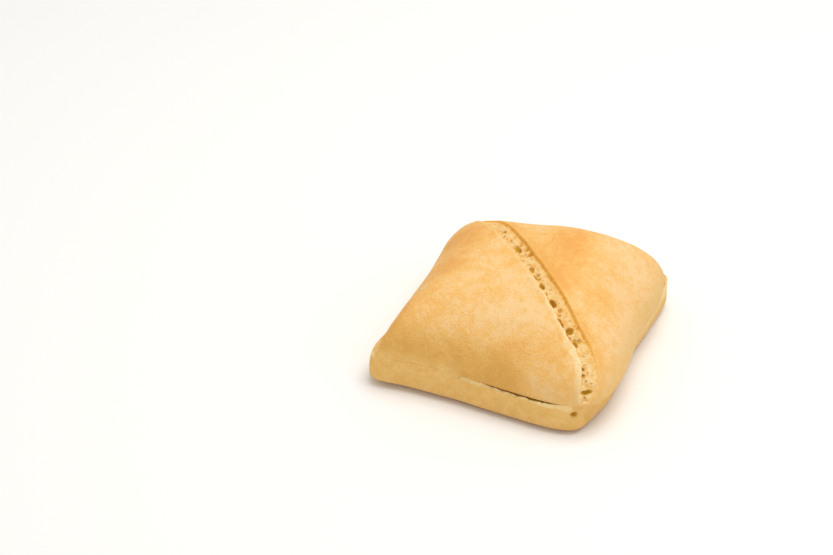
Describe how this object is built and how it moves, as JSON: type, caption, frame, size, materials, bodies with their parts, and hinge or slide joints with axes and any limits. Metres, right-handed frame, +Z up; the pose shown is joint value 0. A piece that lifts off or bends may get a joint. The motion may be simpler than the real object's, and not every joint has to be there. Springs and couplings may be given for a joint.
{
  "type": "burger bun",
  "caption": "Square soft-crusted burger bun, sliced level through, with a diagonal split across its domed top and a flat base to rest on.",
  "frame": {"origin": "middle of the bounding box, on the plane the base rests on", "axes": "+Z up, +X and +Y towards two neighbouring sides, the split running from the -X +Y corner to the +X -Y corner"},
  "size_m": [0.1104, 0.115, 0.0509],
  "materials": {
    "crust_top": "matte",
    "crust_side": "matte"
  },
  "bodies": {
    "root": {"bun_top": "crust_top", "bun_bottom": "crust_side"}
  },
  "joints": []
}
